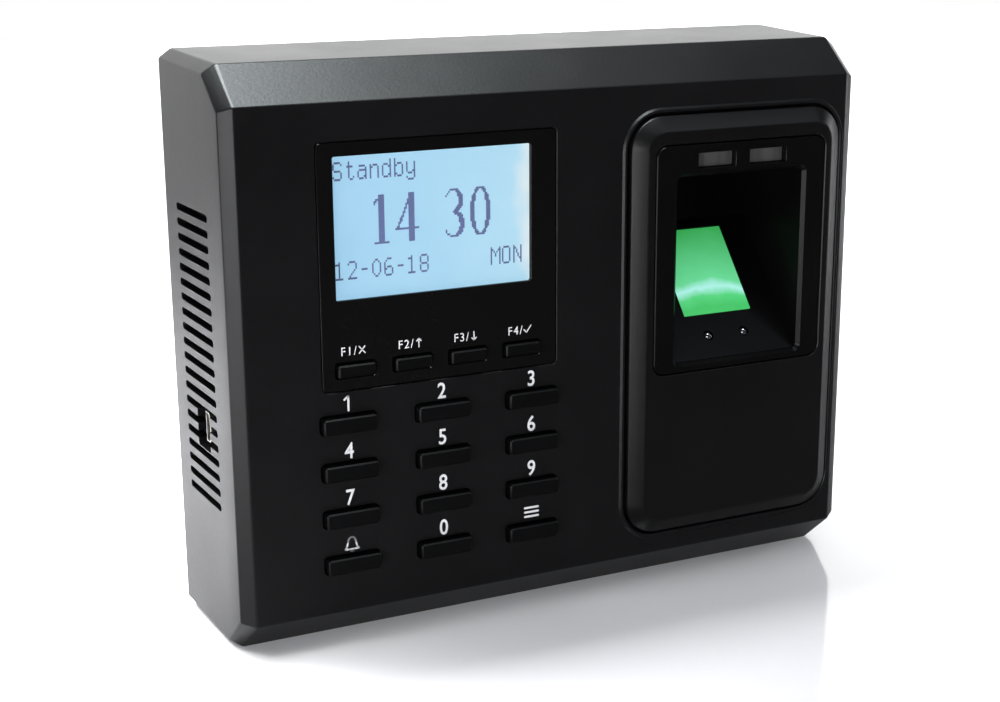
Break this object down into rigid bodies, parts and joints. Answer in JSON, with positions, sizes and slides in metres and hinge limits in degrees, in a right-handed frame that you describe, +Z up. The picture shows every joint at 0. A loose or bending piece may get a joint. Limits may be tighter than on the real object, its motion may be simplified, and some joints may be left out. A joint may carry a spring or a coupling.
{
  "type": "fingerprint scanner terminal",
  "caption": "Wall-mounted terminal: bevelled case with a number keypad and backlit display on the left and a raised fingerprint reader bay on the right.",
  "frame": {"origin": "middle of the bottom of the bounding box: the bottom face that the terminal stands on, centred across its width and depth", "axes": "+X to the viewer's right when facing the keypad, +Y from the front panel towards the wall, +Z up"},
  "size_m": [0.18, 0.048, 0.1461],
  "materials": {
    "case_plastic": "fine moulded texture, satin charcoal",
    "back_plastic": "plain moulded, matte black",
    "gloss_black": "polished black",
    "clear_window": "clear acrylic",
    "lcd_face": "backlit pale blue",
    "lcd_metal": "stamped tin plate",
    "white_diffuser": "white light guide",
    "green_board": "green solder mask",
    "silicone": "moulded silicone",
    "key_plastic": "semi-gloss black",
    "bezel_plastic": "satin blue-grey charcoal",
    "lit_prism": "green-lit optical glass",
    "dark_lens": "smoked infrared lens",
    "light_pipe": "frosted grey light pipe",
    "zinc_steel": "zinc-plated",
    "socket_metal": "nickel-plated shell",
    "chip_black": "moulded epoxy black",
    "terminal_green": "moulded green",
    "relay_blue": "moulded blue",
    "ribbon": "flat cable film"
  },
  "bodies": {
    "case": {"front_cover": "case_plastic", "back_cover": "back_plastic", "wall_plate": "zinc_steel", "wall_plate_screw": "zinc_steel", "display_surround": "gloss_black", "display_window": "clear_window", "lcd_frame": "lcd_metal", "lcd_glass": "lcd_face", "lcd_backlight": "white_diffuser", "lcd_board": "green_board", "keypad_mat": "silicone", "keypad_board": "green_board", "scanner_bezel": "bezel_plastic", "finger_guide": "gloss_black", "sensor_prism": "lit_prism", "sensor_housing": "back_plastic", "sensor_board": "green_board", "proximity_lens_left": "dark_lens", "proximity_lens_right": "dark_lens", "indicator_left": "light_pipe", "indicator_right": "light_pipe", "indicator_board": "green_board", "main_board": "green_board", "board_header": "chip_black", "usb_socket": "socket_metal", "network_socket": "socket_metal", "terminal_block": "terminal_green", "power_jack": "chip_black", "processor": "chip_black", "lock_relay": "relay_blue", "speaker": "chip_black", "buzzer": "chip_black", "clock_battery_holder": "chip_black", "clock_battery": "lcd_metal", "sensor_ribbon": "ribbon", "cover_screw_1": "zinc_steel", "board_screw_1": "zinc_steel", "cover_screw_2": "zinc_steel", "board_screw_2": "zinc_steel", "cover_screw_3": "zinc_steel", "board_screw_3": "zinc_steel", "cover_screw_4": "zinc_steel", "board_screw_4": "zinc_steel"},
    "key_1": {"key_1": "key_plastic"},
    "key_2": {"key_2": "key_plastic"},
    "key_3": {"key_3": "key_plastic"},
    "key_4": {"key_4": "key_plastic"},
    "key_5": {"key_5": "key_plastic"},
    "key_6": {"key_6": "key_plastic"},
    "key_7": {"key_7": "key_plastic"},
    "key_8": {"key_8": "key_plastic"},
    "key_9": {"key_9": "key_plastic"},
    "key_bell": {"key_bell": "key_plastic"},
    "key_0": {"key_0": "key_plastic"},
    "key_menu": {"key_menu": "key_plastic"},
    "key_cancel": {"key_cancel": "key_plastic"},
    "key_up": {"key_up": "key_plastic"},
    "key_down": {"key_down": "key_plastic"},
    "key_confirm": {"key_confirm": "key_plastic"}
  },
  "joints": [
    {"name": "key_1_press", "type": "slide", "parent": "case", "child": "key_1", "axis": [0, 1, 0], "range_m": [0, 0.001], "stiffness_N_per_m": 500, "springref_m": -0.001},
    {"name": "key_2_press", "type": "slide", "parent": "case", "child": "key_2", "axis": [0, 1, 0], "range_m": [0, 0.001], "stiffness_N_per_m": 500, "springref_m": -0.001},
    {"name": "key_3_press", "type": "slide", "parent": "case", "child": "key_3", "axis": [0, 1, 0], "range_m": [0, 0.001], "stiffness_N_per_m": 500, "springref_m": -0.001},
    {"name": "key_4_press", "type": "slide", "parent": "case", "child": "key_4", "axis": [0, 1, 0], "range_m": [0, 0.001], "stiffness_N_per_m": 500, "springref_m": -0.001},
    {"name": "key_5_press", "type": "slide", "parent": "case", "child": "key_5", "axis": [0, 1, 0], "range_m": [0, 0.001], "stiffness_N_per_m": 500, "springref_m": -0.001},
    {"name": "key_6_press", "type": "slide", "parent": "case", "child": "key_6", "axis": [0, 1, 0], "range_m": [0, 0.001], "stiffness_N_per_m": 500, "springref_m": -0.001},
    {"name": "key_7_press", "type": "slide", "parent": "case", "child": "key_7", "axis": [0, 1, 0], "range_m": [0, 0.001], "stiffness_N_per_m": 500, "springref_m": -0.001},
    {"name": "key_8_press", "type": "slide", "parent": "case", "child": "key_8", "axis": [0, 1, 0], "range_m": [0, 0.001], "stiffness_N_per_m": 500, "springref_m": -0.001},
    {"name": "key_9_press", "type": "slide", "parent": "case", "child": "key_9", "axis": [0, 1, 0], "range_m": [0, 0.001], "stiffness_N_per_m": 500, "springref_m": -0.001},
    {"name": "key_bell_press", "type": "slide", "parent": "case", "child": "key_bell", "axis": [0, 1, 0], "range_m": [0, 0.001], "stiffness_N_per_m": 500, "springref_m": -0.001},
    {"name": "key_0_press", "type": "slide", "parent": "case", "child": "key_0", "axis": [0, 1, 0], "range_m": [0, 0.001], "stiffness_N_per_m": 500, "springref_m": -0.001},
    {"name": "key_menu_press", "type": "slide", "parent": "case", "child": "key_menu", "axis": [0, 1, 0], "range_m": [0, 0.001], "stiffness_N_per_m": 500, "springref_m": -0.001},
    {"name": "key_cancel_press", "type": "slide", "parent": "case", "child": "key_cancel", "axis": [0, 1, 0], "range_m": [0, 0.001], "stiffness_N_per_m": 500, "springref_m": -0.001},
    {"name": "key_up_press", "type": "slide", "parent": "case", "child": "key_up", "axis": [0, 1, 0], "range_m": [0, 0.001], "stiffness_N_per_m": 500, "springref_m": -0.001},
    {"name": "key_down_press", "type": "slide", "parent": "case", "child": "key_down", "axis": [0, 1, 0], "range_m": [0, 0.001], "stiffness_N_per_m": 500, "springref_m": -0.001},
    {"name": "key_confirm_press", "type": "slide", "parent": "case", "child": "key_confirm", "axis": [0, 1, 0], "range_m": [0, 0.001], "stiffness_N_per_m": 500, "springref_m": -0.001}
  ]
}
